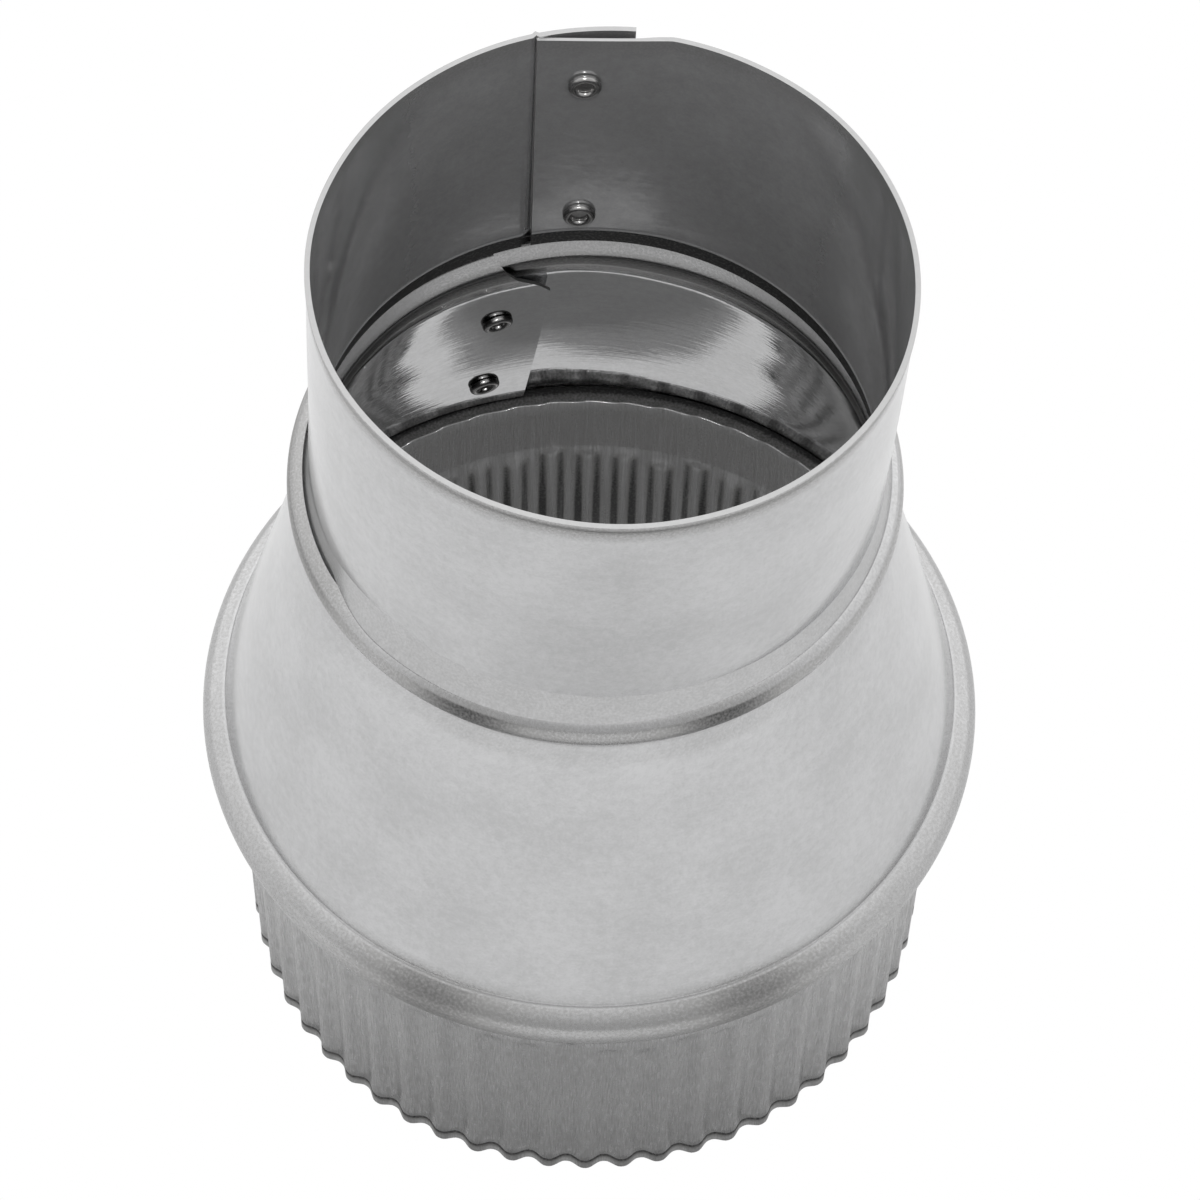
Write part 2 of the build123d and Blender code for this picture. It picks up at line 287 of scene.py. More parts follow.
class ReducerStage(bpy.types.PropertyGroup):
    """Floor and light."""

    floor: FloatVectorProperty(
        name="Floor", description="Colour of the floor", subtype="COLOR", size=3,
        default=(0.9, 0.9, 0.9), min=0, max=1,
    )
    sky: FloatProperty(name="Sky", description="Strength of the soft light all round", default=1.05, min=0)
    sky_slope: FloatProperty(
        name="Sky slope", description="How much brighter the soft light is from behind than from above",
        default=0.5, min=0,
    )
    floor_shade: FloatVectorProperty(
        name="Floor shade", description="Colour of the floor close in front of the reducer",
        subtype="COLOR", size=3, default=(0.62, 0.62, 0.62), min=0, max=1,
    )
    # Painted shade: the floor inside the reducer is darker in reflections
    inner_floor_shade: FloatVectorProperty(
        name="Inner floor", description="Colour of the floor inside the reducer", subtype="COLOR", size=3,
        default=(0.5, 0.5, 0.5), min=0, max=1,
    )
    inner_fill: FloatProperty(
        name="Inner fill", description="Glow of the floor inside the reducer", default=0.11, min=0
    )
    patch_fill: FloatProperty(
        name="Light patch", description="Glow where light through the rim falls on the floor",
        default=0.42, min=0,
    )
    key_power: FloatProperty(
        name="Key light", description="Power of the narrow light that shines into the collar",
        default=15.0, min=0, unit="POWER",
    )


# Shader nodes as expressions
class Wire:
    """One output socket. Sums and products of wires add Math nodes."""

    def __init__(self, graph, socket):
        self.graph = graph
        self.socket = socket

    def math(self, operation, first, second):
        return self.graph.add("ShaderNodeMath", {"operation": operation}, {0: first, 1: second})

    def __add__(self, other):
        return self.math("ADD", self, other)

    def __sub__(self, other):
        return self.math("SUBTRACT", self, other)

    def __rsub__(self, other):
        return self.math("SUBTRACT", other, self)

    def __mul__(self, other):
        return self.math("MULTIPLY", self, other)

    __radd__ = __add__
    __rmul__ = __mul__


class Graph:
    """The nodes of one material or world."""

    def __init__(self, tree):
        self.tree = tree
        tree.nodes.clear()

    def add(self, kind, settings=None, sockets=None, output=0):
        """Adds a node: its settings first, then its sockets' values or wires. Gives one of its outputs."""
        node = self.tree.nodes.new(kind)
        for name, value in (settings or {}).items():
            setattr(node, name, value)
        for name, value in (sockets or {}).items():
            if isinstance(value, Wire):
                self.tree.links.new(value.socket, node.inputs[name])
            elif hasattr(value, "__len__") and len(value) == 3 and node.inputs[name].type == "RGBA":
                node.inputs[name].default_value = (*value, 1.0)
            else:
                node.inputs[name].default_value = value
        return Wire(self, node.outputs[output]) if node.outputs else None

    def mix_colour(self, factor, first, second):
        settings = {"data_type": "RGBA"}
        return self.add("ShaderNodeMix", settings, {0: factor, 6: first, 7: second}, output=2)

    def spread(self, value, low, high):
        """Stretches a value between two limits to the whole range from 0 to 1."""
        sockets = {"Value": value, "From Min": low, "From Max": high}
        return self.add("ShaderNodeMapRange", {"clamp": True}, sockets)

    def noise(self, place, stretch, detail=2.0):
        """Noise at a place on the sheet, with a number of grains to the metre along and up it."""
        stretched = self.add("ShaderNodeMapping", {}, {"Vector": place, "Scale": stretch})
        sockets = {"Vector": stretched, "Scale": 1.0, "Detail": detail, "Roughness": 0.55}
        return self.add("ShaderNodeTexNoise", {}, sockets)


def new_material(name):
    material = bpy.data.materials.new(name)
    material.use_nodes = True
    return material, Graph(material.node_tree)


def finish_surface(graph, sockets):
    shader = graph.add("ShaderNodeBsdfPrincipled", {}, sockets)
    graph.add("ShaderNodeOutputMaterial", {}, {"Surface": shader})


def galvanised(finish, name, drawn_way, streaks, roughness, relief=1.5, metal=1.0):
    """Zinc with a faint spangle, duller where it was rolled, streaked one way and darkened with painted shade
    in the grooves.
    """
    material, graph = new_material(name)
    sheet_place = graph.add("ShaderNodeUVMap", {"uv_map": "sheet"})
    worked = graph.add("ShaderNodeAttribute", {"attribute_name": "worked"}, output=2)
    spangle = graph.noise(sheet_place, (spangle_grains, spangle_grains, 1), 3.0)
    clouds = graph.noise(sheet_place, (cloud_grains, cloud_grains, 1), 3.0)
    fine = graph.noise(sheet_place, (speckle_grains, speckle_grains, 1), 2.0)
    speckle = graph.spread(fine, 0.36, 0.64)
    drawn = graph.spread(graph.noise(sheet_place, drawn_way, 2.0), 0.32, 0.68)
    grain = graph.spread(spangle * 0.35 + clouds * 0.35 + fine * 0.3, 0.4, 0.6)
    face = graph.mix_colour(grain, finish.zinc_dark, finish.zinc)
    rolled = graph.spread(worked * (1.3 - 0.6 * speckle), 0.0, 1.0)
    face = graph.mix_colour(rolled, face, finish.worked)
    face = graph.mix_colour(drawn * (streaks + worked * 0.25), face, finish.worked)
    # Painted shade: levels from 1 to 2 darken the face towards black
    shade_share = graph.spread(worked * (1.1 - 0.2 * speckle), 1.0, PAINTED_SHADE)
    face = graph.mix_colour(shade_share, face, finish.groove_shade)
    dullness = roughness + rolled * 0.18 - grain * 0.02 + drawn * (0.2 * streaks)
    height = spangle * 0.2 + drawn * (streaks * relief) + speckle * worked * 0.3
    bump = graph.add("ShaderNodeBump", {}, {"Height": height, "Strength": 0.08, "Distance": 0.0004})
    finish_surface(graph, {"Base Color": face, "Roughness": dullness, "Metallic": metal, "Normal": bump})
    return material


def bare_steel(name, colour, roughness):
    """Bare steel with fine scratches."""
    material, graph = new_material(name)
    place = graph.add("ShaderNodeTexCoord", {}, output=3)
    scratch = graph.noise(place, (scratch_grains, scratch_grains, scratch_grains), 3.0)
    dull = [channel * 0.8 for channel in colour]
    face = graph.mix_colour(scratch, dull, colour)
    finish_surface(graph, {"Base Color": face, "Roughness": roughness + scratch * 0.15, "Metallic": 1.0})
    return material


# Sheets as meshes, with one material for the bore face, one for the cut edges and one for the outer face
BORE, CUT, OUTER = range(3)


def smoothstep(share):
    share = np.clip(share, 0.0, 1.0)
    return share * share * (3.0 - 2.0 * share)


def stations(*stops):
    """Values from stop to stop: each stop is a value and the number of steps that lead to it."""
    values = [stops[0]]
    for value, steps in stops[1:]:
        values.extend(np.linspace(values[-1], value, steps + 1)[1:])
    return np.array(values)


def arc_points(centre, radius, start, end, steps):
    angle = np.radians(np.linspace(start, end, steps + 1))
    return np.stack([centre[0] + radius * np.cos(angle), centre[1] + radius * np.sin(angle)], 1)


def bend_points(before, corner, after, steps):
    """Points of a soft bend from before to after, drawn towards the corner."""
    share = np.linspace(0.0, 1.0, steps + 1)[:, None]
    before, corner, after = np.array(before), np.array(corner), np.array(after)
    return (1 - share) ** 2 * before + 2 * share * (1 - share) * corner + share ** 2 * after


def line_points(start, end, steps):
    share = np.linspace(0.0, 1.0, steps + 1)[:, None]
    return np.array(start) + share * (np.array(end) - np.array(start))


def joined(*runs):
    """One profile from runs whose ends meet."""
    return np.concatenate([runs[0]] + [run[1:] for run in runs[1:]])


def run_levels(runs, levels):
    """The level of each point of joined runs."""
    return np.concatenate([np.full(len(run) - 1, level) for run, level in zip(runs, levels)] + [levels[-1:]])


def outward(profile):
    """Unit normals on the left of a profile that runs downwards."""
    along = np.gradient(profile, axis=0)
    normal = np.stack([-along[:, 1], along[:, 0]], 1)
    return normal / np.linalg.norm(normal, axis=1)[:, None]


def unevenness(azimuth, height, amount):
    """Slow wander of a rolled wall from its round."""
    turn = np.radians(azimuth)
    wave = np.sin(3 * turn + 0.06 * height + 0.7) + 0.7 * np.sin(5 * turn - 0.09 * height + 2.1)
    return amount * (wave + 0.5 * np.sin(11 * turn + 0.17 * height + 4.0))


def on_round(radius, azimuth, height):
    """Points at a radius, an azimuth and a height."""
    turn = np.radians(azimuth)
    return np.stack(np.broadcast_arrays(radius * np.cos(turn), radius * np.sin(turn), height), -1)


def sheet_mesh(shells, materials, name):
    """Joins shells into one object. A shell has inner and outer grids of points and of worked levels."""
    mesh = bmesh.new()
    place_layer = mesh.loops.layers.uv.new("sheet")
    worked_layer = mesh.verts.layers.float.new("worked")
    for shell in shells:
        add_shell(mesh, place_layer, worked_layer, **shell)
    return finished_piece(mesh, name, materials)


def finished_piece(mesh, name, materials):
    """An object of a mesh, with its sharp bends marked."""
    bmesh.ops.recalc_face_normals(mesh, faces=mesh.faces)
    for edge in mesh.edges:
        edge.smooth = edge.calc_face_angle(0.0) < radians(sharp_angle)
    data = bpy.data.meshes.new(name)
    mesh.to_mesh(data)
    mesh.free()
    for material in materials:
        data.materials.append(material)
    piece = bpy.data.objects.new(name, data)
    bpy.context.scene.collection.objects.link(piece)
    return piece


def add_shell(mesh, place_layer, worked_layer, inner, outer, worked, closed=False):
    """Adds the two faces of a sheet and its cut edges. A closed shell runs all the way round."""
    rows, columns = inner.shape[:2]
    run = np.linalg.norm(np.diff(inner[rows // 2], axis=0), axis=1)
    along = np.concatenate([[0.0], np.cumsum(run)]) * MM
    rise = np.linalg.norm(np.diff(inner[:, columns // 2], axis=0), axis=1)
    up = np.concatenate([[0.0], np.cumsum(rise)]) * MM
    grids = []
    for grid in (inner, outer):
        verts = [[mesh.verts.new(point) for point in row * MM] for row in grid]
        for row, values in zip(verts, worked[len(grids)]):
            for vert, value in zip(row, values):
                vert[worked_layer] = value
        grids.append(verts)
    last = columns if closed else columns - 1

    def quad(corners, material):
        face = mesh.faces.new([grids[side][row][column % columns] for side, row, column in corners])
        face.smooth = True
        face.material_index = material
        for loop, (side, row, column) in zip(face.loops, corners):
            loop[place_layer].uv = (along[column % columns], up[row])

    for row in range(rows - 1):
        for column in range(last):
            for side in (0, 1):
                corners = [(side, row, column), (side, row, column + 1)]
                corners += [(side, row + 1, column + 1), (side, row + 1, column)]
                quad(corners if side else corners[::-1], OUTER if side else BORE)
    for row in (0, rows - 1):
        for column in range(last):
            quad([(0, row, column), (0, row, column + 1), (1, row, column + 1), (1, row, column)], CUT)
    if not closed:
        for column in (0, columns - 1):
            for row in range(rows - 1):
                quad([(0, row, column), (0, row + 1, column), (1, row + 1, column), (1, row, column)], CUT)


def place_piece(piece, slot, *nodes):
    """The piece stands for these nodes, on the one body."""
    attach(piece, "root")
    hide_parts(*nodes)


def lip_closed(azimuth):
    """How far the top bead's lip is pressed onto the small collar, from 0 where it stands open to 1."""
    turn = (azimuth - seam_high[0]) % FULL_TURN + seam_high[0]
    opened = smoothstep((turn - lip_opens[0]) / (lip_opens[1] - lip_opens[0]))
    return 1 - opened * (1 - smoothstep((turn - lip_closes[0]) / (lip_closes[1] - lip_closes[0])))


def skirted(azimuth):
    """How far the small collar's foot spreads over the closed lip as a skirt, from 0 to 1."""
    turn = (azimuth - seam_high[0]) % FULL_TURN + seam_high[0]
    begun = smoothstep((turn - lip_closes[0]) / (lip_closes[1] - lip_closes[0]))
    return begun * (1 - smoothstep((turn - skirt_ends[0]) / (skirt_ends[1] - skirt_ends[0])))


# Small collar
def leaned(points):
    """Moves points from the small collar's own frame to the part's frame."""
    lean = radians(collar_lean)
    x, y, z = points[..., 0], points[..., 1], points[..., 2]
    across = x * cos(lean) + z * sin(lean)
    rise = top_bead_height - x * sin(lean) + z * cos(lean)
    return np.stack([across, y, rise], -1)


def sprung_radius(face, azimuth, spring):
    """Radius of the outer lap's face at the rim, on an arc that leaves the round at the lap's start."""
    free_edge = face + spring
    lap = radians(collar_lap_start - collar_lap_end)
    shift = (free_edge ** 2 - face ** 2) / (2 * (face - free_edge * cos(lap)))
    turn = np.radians(collar_lap_start - azimuth)
    return np.sqrt((face + shift) ** 2 - (shift * np.sin(turn)) ** 2) - shift * np.cos(turn)


def collar_radius(face, azimuth, share, sheet, spring):
    """Radius of one face of the small collar's sheet, from its foot at share 0 to the rim at share 1."""
    lap_step = sheet + lap_gap
    joggle_end = collar_seam + degrees(joggle_lead / collar_bore) - FULL_TURN
    stepped = smoothstep((joggle_end + collar_joggle - azimuth) / collar_joggle) * lap_step
    half = radians(collar_seam - flat_end) / 2
    from_middle = np.radians(azimuth - (collar_seam + flat_end) / 2)
    near = np.abs(from_middle) < radians(flat_reach)
    chord = face * cos(half) / np.cos(np.where(near, from_middle, 0.0))
    depth = np.where(near, face - chord, -face)
    flat = (depth + np.sqrt(depth ** 2 + flat_corner ** 2)) / 2
    on_lap = azimuth < collar_lap_start - FULL_TURN
    sprung = np.where(on_lap, sprung_radius(face, azimuth + FULL_TURN, spring) - face, 0.0)
    behind_seam = azimuth - (collar_seam - FULL_TURN)
    groove = seam_groove * smoothstep(1 - np.abs(behind_seam) / seam_groove_width)
    return face + (1 - share) * stepped + share * (sprung - flat) + groove


class REDUCER_OT_small_collar(bpy.types.Operator):
    """Makes the small collar: one lapped sheet with a flat at its seam, a sprung lap and a flared foot"""

    bl_idname = "reducer.small_collar"
    bl_label = "Small collar"

    def execute(self, context):
        sizes = context.scene.reducer_sizes
        finish = context.scene.reducer_finish
        sheet, spring = sizes.sheet / MM, sizes.spring / MM
        lap_from, lap_to = collar_lap_start - FULL_TURN, collar_lap_end - FULL_TURN
        azimuth = stations(collar_seam, (flat_end, 40), (lap_from, 300), (lap_to, 100))
        rim_stop = (collar_length - rim_fine_rows, 12)
        edge_stops = ((foot_edge + foot_edge_bend, 22), (foot_edge, 5), (foot_edge - foot_edge_step, 1))
        level = stations(collar_length, rim_stop, *edge_stops, (foot_height, 3))[:, None]
        share = (level - foot_height) / (collar_length - foot_height)
        curl = foot_edge_curl * np.clip(1 - (level - foot_edge) / foot_edge_bend, 0, 1) ** 2
        recess = np.where(level < foot_edge, foot_recess, -curl)
        bulge = rim_bulge * (1 - smoothstep((collar_length - level) / rim_bulge_height - 1))
        bulge = bulge * smoothstep((collar_lap_end - azimuth) / rim_bulge_run)[None, :]
        lap_share = (lap_from - azimuth) / (lap_from - lap_to)
        height = level + share ** 4 * lap_rise * np.clip(lap_share, 0, 1)[None, :]
        wander = unevenness(azimuth[None, :], height, sizes.unevenness / MM) * smoothstep(share * 3)
        turn = np.radians(azimuth[None, :])
        wander = wander + share * (collar_oval * np.cos(turn) ** 2 + collar_drift * np.cos(turn))
        grids = []
        for face, turned in ((collar_bore, recess), (collar_bore + sheet, bulge)):
            radius = collar_radius(face, azimuth[None, :], share, sheet, spring) + wander + turned
            grids.append(leaned(on_round(radius, azimuth[None, :] + seam_twist * (1 - share), height)))
        rolled = rim_worked * smoothstep((height - collar_length + 2 * rim_roll) / rim_roll)
        # Painted shade: the bore below the foot edge is blackened like a deep groove
        bore_worked = rolled + np.where(level < foot_edge, PAINTED_SHADE, 0.0)
        # Painted shade: a dark line on the outer face just under the rim, over the rolled wear
        outer_worked = rolled * (1 + rim_line_shade * smoothstep((collar_length - level) / rim_bulge_height))
        wall = {"inner": grids[0], "outer": grids[1], "worked": (bore_worked, outer_worked)}
        bore = galvanised(
            finish, "collar_bore_zinc", drawn_way=(220, 220, 1), streaks=0.2,
            roughness=finish.inner_roughness + 0.06, metal=0.7,
        )
        outer = galvanised(
            finish, "collar_outer_zinc", drawn_way=(300, 300, 1), streaks=0.0, roughness=finish.roughness
        )
        materials = [bore, bare_steel("cut_edge", finish.cut, roughness=0.4), outer]
        piece = sheet_mesh([wall, self.foot(sheet)], materials, "small_collar_sheet")
        place_piece(piece, "galvanised_sheet", "small_collar")
        return {"FINISHED"}

    def foot(self, sheet):
        """A closed ring that turns out into the bead. Outside it swells to meet the open lip, or lies over
        the closed lip as a skirt, and at the back it stays tight."""
        azimuth = np.linspace(0, FULL_TURN, 361)[:-1]
        share = np.linspace(0, 1, 26)[:, None]
        inner_start, outer_start = [collar_bore + sheet * skin for skin in foot_skin]
        open_part = 1 - lip_closed(azimuth)[None, :]
        skirt_part = skirted(azimuth)[None, :]
        tight_part = 1 - open_part - skirt_part
        bend = 1 - np.cos(share * np.pi / 2)
        fall = np.sin(share * np.pi / 2)
        down_skirt = np.minimum(share / skirt_share, 1)
        below_skirt = np.maximum((share - skirt_share) / (1 - skirt_share), 0)
        spread = (skirt_foot[0] - outer_start) * down_skirt + (foot_tip - skirt_foot[0]) * below_skirt
        drop = (skirt_foot[1] - skirt_height) * down_skirt + (sheet / 2 - skirt_foot[1]) * below_skirt
        turned = (foot_tip - outer_start) * (open_part * bend + tight_part * bend ** 2)
        outer = outer_start + turned + skirt_part * spread
        top = open_part * swell_height + tight_part * (foot_height + foot_top_rise)
        outer_height = top - (top - (1 - skirt_part) * sheet / 2) * fall + skirt_part * (skirt_height + drop)
        top = top + skirt_part * skirt_height
        shoulder = foot_height + foot_shoulder_rise
        down_wall = np.minimum(share * 2, 1)
        into_bead = np.maximum(share * 2 - 1, 0)
        inner = inner_start + (foot_tip - inner_start) * into_bead
        inner_height = top + (shoulder - top) * down_wall - (shoulder + sheet / 2) * into_bead
        worked = np.full(outer.shape, foot_worked)
        grids = [
            leaned(on_round(radius, azimuth[None, :], height))
            for radius, height in ((inner, inner_height), (outer, outer_height))
        ]
        return {"inner": grids[0], "outer": grids[1], "worked": (worked, worked), "closed": True}


# Tapered body
def taper_profile(lip_angle):
    """Bore face of the tapered body from its top lip to its lower lip, and how worked each face is, with
    levels above 1 as painted shade.
    """
    top_centre = (top_bead_centre, top_bead_height)
    lower_centre = (lower_bead_centre, lower_bead_height)
    upper_bead = arc_points(top_centre, top_bead_bore, lip_angle, top_bead_split, 9)
    bead = arc_points(top_centre, top_bead_bore, top_bead_split, -flank_angle, 13)
    foot = np.array([lower_bead_centre, lower_bead_height + lower_bead_bore])
    taper = (foot[0] - throat[0]) / (throat[1] - foot[1])
    neck_top = (neck_radius, bead[-1][1] - (bead[-1][0] - neck_radius) * tan(radians(flank_angle)))
    flare = tan(radians(neck_flare))
    flare_foot = (throat[0] - neck_radius + throat[1] * taper - neck_foot * flare) / (taper - flare)
    corners = [bead[-1], neck_top, (neck_radius, neck_foot)]
    corners.append((neck_radius + (neck_foot - flare_foot) * flare, flare_foot))
    corners.append(foot)
    way = np.diff(np.array(corners), axis=0)
    way = way / np.linalg.norm(way, axis=1)[:, None]
    bends = (flank_bend, neck_bend, flare_bend, crease_bend)
    before = [np.array(corners[i + 1]) - way[i] * bend for i, bend in enumerate(bends)]
    after = [np.array(corners[i + 1]) + way[i + 1] * bend for i, bend in enumerate(bends[:-1])]
    arc_start = 90 - degrees(crease_bend / lower_bead_bore)
    lower = arc_points(lower_centre, lower_bead_bore, arc_start, -lower_lip_angle, 32)
    runs = [
        upper_bead,
        bead,
        line_points(bead[-1], before[0], 3),
        bend_points(before[0], corners[1], after[0], 5),
        line_points(after[0], before[1], 2),
        bend_points(before[1], corners[2], after[1], 4),
        line_points(after[1], before[2], 3),
        bend_points(before[2], corners[3], after[2], 3),
        line_points(after[2], before[3], 20),
        bend_points(before[3], foot, lower[0], 5),
        lower,
    ]
    # Levels up to 1 are roller wear. On the bore, the top bead's hollow is black with painted shade, and the
    # neck and lower lip get lighter painted shade; on the outer face painted shade comes where the dark
    # reflection marks raise the level
    bore_levels = (2.0, 2.0, 0.5, 1.0, 1.3, 1.2, 0.9, 0.0, 0.0, 0.6, 1.2)
    outer_levels = (0.5, 1.3, 0.5, 0.6, 0.4, 0.3, 0.2, 0.0, 0.0, 0.5, 1.0)
    return joined(*runs), run_levels(runs, bore_levels), run_levels(runs, outer_levels)


def lap_lean(azimuth):
    """How far the inner lap leans in at an azimuth."""
    return lap_lean_in * (1 - smoothstep((azimuth - seam_high[0]) / lap_lean_run))


def seam_azimuth(height):
    """Azimuth of the inner lap's edge, which slants a little and is snipped off near the top."""
    slant = (seam_low[0] - seam_high[0]) / (seam_high[1] - seam_low[1])
    edge = seam_high[0] + np.maximum(seam_high[1] - height, 0) * slant
    snip = np.clip((height - seam_high[1]) / (snip_top[1] - seam_high[1]), 0, 1)
    return edge + snip * (snip_top[0] - seam_high[0])


class REDUCER_OT_tapered_body(bpy.types.Operator):
    """Makes the tapered body: one lapped sheet with a bead at each end and a snipped lap corner"""

    bl_idname = "reducer.tapered_body"
    bl_label = "Tapered body"

    def execute(self, context):
        sizes = context.scene.reducer_sizes
        finish = context.scene.reducer_finish
        sheet = sizes.sheet / MM
        open_lip, bore_level, outer_level = taper_profile(top_lip_angle)
        closed_lip = taper_profile(closed_lip_angle)[0]
        seam = seam_high[0]
        start = seam_azimuth(open_lip[:, 1])[:, None]
        lap_end = seam + FULL_TURN + taper_lap
        along = stations(0.0, (0.06, 26), (0.86, 270), (1.0, 74))[None, :]
        azimuth = start + (lap_end - start) * along
        closed = lip_closed(azimuth)
        profile = open_lip[:, None] + closed[..., None] * (closed_lip - open_lip)[:, None]
        open_normal, closed_normal = outward(open_lip), outward(closed_lip)
        normal = open_normal[:, None] + closed[..., None] * (closed_normal - open_normal)[:, None]
        lap_run = (azimuth - (seam + FULL_TURN - taper_lap_run)) / taper_lap_run
        lifted = (sheet + lap_gap) * smoothstep(lap_run) - lap_lean(azimuth)
        wall = np.sin(np.pi * np.clip((profile[..., 1] - wall_foot) / wall_height, 0, 1))
        lifted = lifted + wall * unevenness(azimuth, profile[..., 1], sizes.unevenness / MM)
        from_lip = np.arange(len(profile))[:, None] / lip_feather_rows
        feather = 1 - lip_feather * closed * smoothstep(1 - from_lip)
        grids = []
        for face in (0.0, sheet):
            moved = profile + normal * (lifted + face * feather)[..., None]
            grids.append(on_round(moved[..., 0], azimuth, moved[..., 1]))
        # Painted dark reflections at front-left and front-right raise the outer level over the roller wear
        # all round
        dark_reflections = sum(np.exp(-(((azimuth - mark) / dark_reflection_width) ** 2)) for mark in dark_reflection_marks)
        bore_worked = np.repeat(bore_level[:, None], azimuth.shape[1], 1)
        outer_worked = outer_level[:, None] * (worked_and_reflection[0] + worked_and_reflection[1] * np.minimum(dark_reflections, 1))
        outer_worked = outer_worked + open_lip_worked * (1 - closed) * (open_lip[:, 1:] > throat[1])
        shell = {"inner": grids[0], "outer": grids[1], "worked": (bore_worked, outer_worked)}
        bore = galvanised(
            finish, "taper_bore_zinc", drawn_way=(40, 1500, 1), streaks=0.07,
            roughness=finish.inner_roughness - 0.015,
        )
        outer = galvanised(
            finish, "taper_outer_zinc", drawn_way=(40, 1500, 1), streaks=0.0, roughness=finish.roughness
        )
        materials = [bore, bpy.data.materials["cut_edge"], outer]
        piece = sheet_mesh([shell], materials, "tapered_body_sheet")
        place_piece(piece, "galvanised_sheet", "tapered_body")
        return {"FINISHED"}


# Crimped collar
class REDUCER_OT_crimped_collar(bpy.types.Operator):
    """Makes the crimped collar: flutes with uneven starts, a plain band and a head curled into the bead"""

    bl_idname = "reducer.crimped_collar"
    bl_label = "Crimped collar"

    def execute(self, context):
        sizes = context.scene.reducer_sizes
        finish = context.scene.reducer_finish
        sheet = sizes.sheet / MM
        turns = sizes.crimp_count + crimped_lap_count
        phase = np.arange(turns * crimp_steps + 1) / crimp_steps
        azimuth = crimped_seam + phase * FULL_TURN / sizes.crimp_count
        profile, bore_level, outer_level = self.profile(sheet)
        depth = self.crimps(profile[:, 1:], phase[None, :]) * sizes.crimp_depth / MM
        lap_share = (phase - sizes.crimp_count + crimped_lap_run) / crimped_lap_run
        lifted = (sheet + lap_gap) * smoothstep(lap_share)[None, :]
        climb = phase[None, :] % 1.0
        tooth = np.minimum(climb / crest_wave_climb, (1 - climb) / (1 - crest_wave_climb))
        saw = (smoothstep(tooth) - 0.5) * crest_wave
        on_crest = smoothstep((profile[:, 1:] - crest_wave_foot) / crest_wave_run)
        on_crest = on_crest * (profile[:, :1] < lower_bead_centre)
        grids = []
        normal = outward(profile) * -1
        for face in (0.0, sheet):
            offset = lifted + face
            radius = profile[:, :1] + normal[:, :1] * offset - depth
            height = profile[:, 1:] + normal[:, 1:] * offset + saw * on_crest
            grids.append(on_round(radius, azimuth[None, :], height))
        flanks = np.abs(np.gradient(depth, axis=1))
        outer_worked = np.repeat(outer_level[:, None], len(phase), 1)
        # Painted shade: the bore's steep crimp flanks are darkened towards black
        steepness = np.minimum(flanks / flanks.max() * flank_shade, 1)
        bore_worked = bore_level[:, None] + PAINTED_SHADE * steepness ** 2
        shell = {"inner": grids[0], "outer": grids[1], "worked": (bore_worked, outer_worked)}
        bore = galvanised(
            finish, "crimp_bore_zinc", drawn_way=(2600, 60, 1), streaks=0.75,
            roughness=finish.inner_roughness + 0.06, relief=8.0, metal=0.3,
        )
        outer = galvanised(
            finish, "crimp_outer_zinc", drawn_way=(4500, 300, 1), streaks=0.75,
            roughness=finish.roughness + 0.03, relief=6.0,
        )
        materials = [bore, bpy.data.materials["cut_edge"], outer]
        piece = sheet_mesh([shell], materials, "crimped_collar_sheet")
        place_piece(piece, "galvanised_sheet", "crimped_collar")
        return {"FINISHED"}

    def crimps(self, height, phase):
        """Depth of the crimps, from 0 on a crest to 1 in a valley, with uneven, hooked starts."""
        from_crest = phase - crimp_crest_share / 2
        crimp = np.floor(from_crest).astype(int) + 1
        chance = np.random.default_rng(crimp_seed)
        count = int(crimp.max()) + 1
        top = (crimp_fade_top + chance.uniform(*crimp_top_range, count))[crimp]
        fade = chance.uniform(*crimp_start_run, count)[crimp]
        hook = chance.uniform(-crimp_hook, crimp_hook, count)[crimp]
        begun = 1 - smoothstep((height - top + fade) / fade)
        full = crimp_start_share * begun + (1 - crimp_start_share) * np.clip(1 - height / top, 0, 1)
        share = (from_crest + hook * (1 - begun) + 0.5) % 1.0 - 0.5
        flat = (0.5 - crimp_slope_share) / 2
        return full * smoothstep((np.abs(share) - flat) / crimp_slope_share)

    def profile(self, sheet):
        """Bore face from the rim to the curled head, and how worked each face is, with painted shade in the
        rim groove and the curled head.
        """
        bore = crimped_plain - sheet
        crest = crimped_crest - sheet
        bead = (lower_bead_centre, lower_bead_height)
        head_top = (lower_bead_centre, lower_bead_height + curl_radius)
        rim_crest = crimped_rim_crest - sheet
        groove = (rim_crest - rim_groove, rim_groove_height)
        groove_low = (rim_crest, rim_groove_height - rim_groove_half)
        groove_high = (rim_crest, rim_groove_height + rim_groove_half)
        full_depth = (crest, crimp_full_height)
        band = np.array([crest_radius, crest_height])
        shoulder = np.array([bore, crimp_fade_top])
        flange = np.array(head_top) - band
        below_crest = band - (band - shoulder) / np.linalg.norm(band - shoulder) * crest_bend
        past_crest = band + flange / np.linalg.norm(flange) * crest_bend
        runs = [
            line_points((rim_crest, 0), groove_low, 2),
            joined(line_points(groove_low, groove, 2), line_points(groove, groove_high, 2)),
            line_points(groove_high, full_depth, 12),
            line_points(full_depth, shoulder, 14),
            line_points(shoulder, below_crest, 5),
            bend_points(below_crest, band, past_crest, 4),
            line_points(past_crest, head_top, 3),
            arc_points(bead, curl_radius, 90, curl_end, 10),
        ]
        # Levels above 1 are painted shade: in the rim groove on both faces, and on the bore of the head
        # curled into the bead
        bore_levels = (0.4, 1.8, 0.0, 0.0, 0.6, 0.0, 1.6, 2.0)
        outer_levels = (0.3, 1.8, 0.15, 0.15, 0.0, 0.0, 0.0, 0.0)
        return joined(*runs), run_levels(runs, bore_levels), run_levels(runs, outer_levels)


